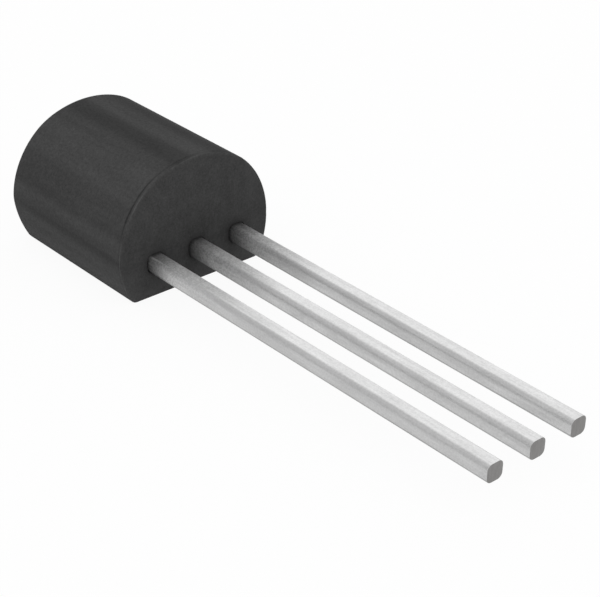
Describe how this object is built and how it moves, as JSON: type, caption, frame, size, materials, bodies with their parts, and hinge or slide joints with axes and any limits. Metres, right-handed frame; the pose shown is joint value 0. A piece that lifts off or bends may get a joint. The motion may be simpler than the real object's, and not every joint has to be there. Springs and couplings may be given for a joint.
{
  "type": "to-92 transistor",
  "caption": "Small D-shaped moulded transistor package with a flat side, a round back and straight in-line leads in one row.",
  "frame": {"origin": "where the middle lead leaves the body, on that lead's own axis", "axes": "+X along the leads to their tips, +Y along the lead row, +Z from the flat side to the round back; the part lies on its flat side"},
  "size_m": [0.0161, 0.0046, 0.0034],
  "materials": {
    "epoxy": "matte, finely grained moulding",
    "tinned_lead": "satin, dipped in solder",
    "silicon": "polished",
    "silver_epoxy": "matte",
    "gold_wire": "bright"
  },
  "bodies": {
    "root": {"body": "epoxy", "emitter_lead": "tinned_lead", "collector_lead": "tinned_lead", "base_lead": "tinned_lead", "die": "silicon", "die_bond": "silver_epoxy", "emitter_wire": "gold_wire", "base_wire": "gold_wire"}
  },
  "joints": []
}
